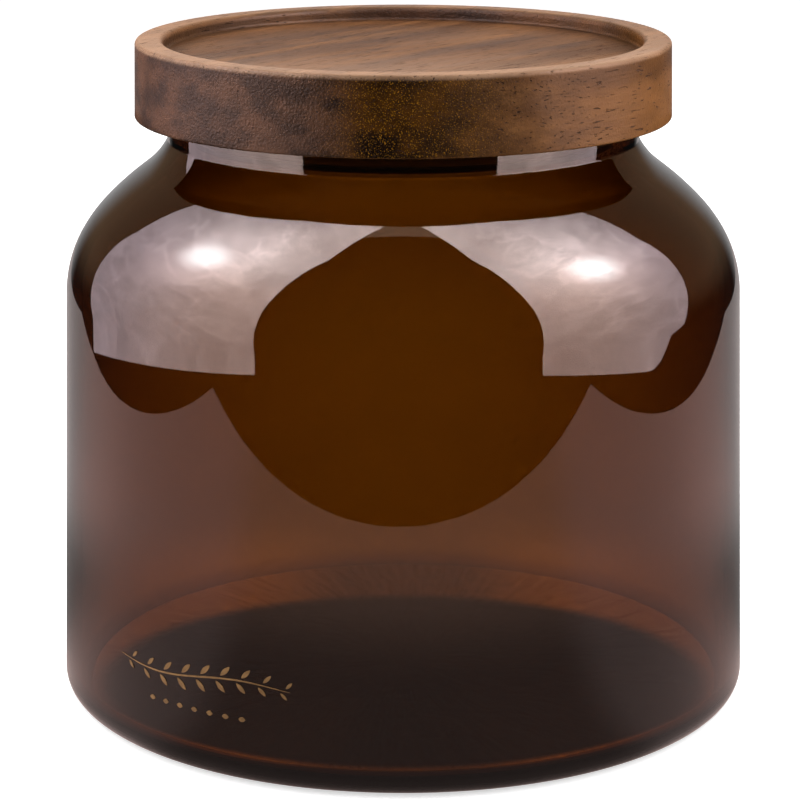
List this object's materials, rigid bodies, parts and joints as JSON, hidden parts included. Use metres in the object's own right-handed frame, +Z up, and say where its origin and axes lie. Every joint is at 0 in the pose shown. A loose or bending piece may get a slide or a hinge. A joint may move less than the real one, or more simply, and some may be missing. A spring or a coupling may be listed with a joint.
{
  "type": "lidded glass storage jar",
  "caption": "Squat round jar of brown tinted glass with a rounded shoulder and a wide mouth, closed by a turned dark wood lid with a recessed top.",
  "frame": {"origin": "on the jar's axis, in the plane that its foot stands on", "axes": "+Z up along the jar's axis, the way the lid lifts off; the pieces are turned, so X and Y are alike"},
  "size_m": [0.105, 0.105, 0.0994],
  "materials": {
    "brown_glass": "clear tinted brown, glossy",
    "dark_wood": "oiled satin, open grain",
    "clear_silicone": "soft translucent"
  },
  "bodies": {
    "jar": {"glass_jar": "brown_glass"},
    "lid": {"wood_lid": "dark_wood", "seal_ring": "clear_silicone"}
  },
  "joints": [
    {"name": "lid_lift", "type": "slide", "parent": "jar", "child": "lid", "axis": [0, 0, 1], "range_m": [0, 0.04]}
  ]
}
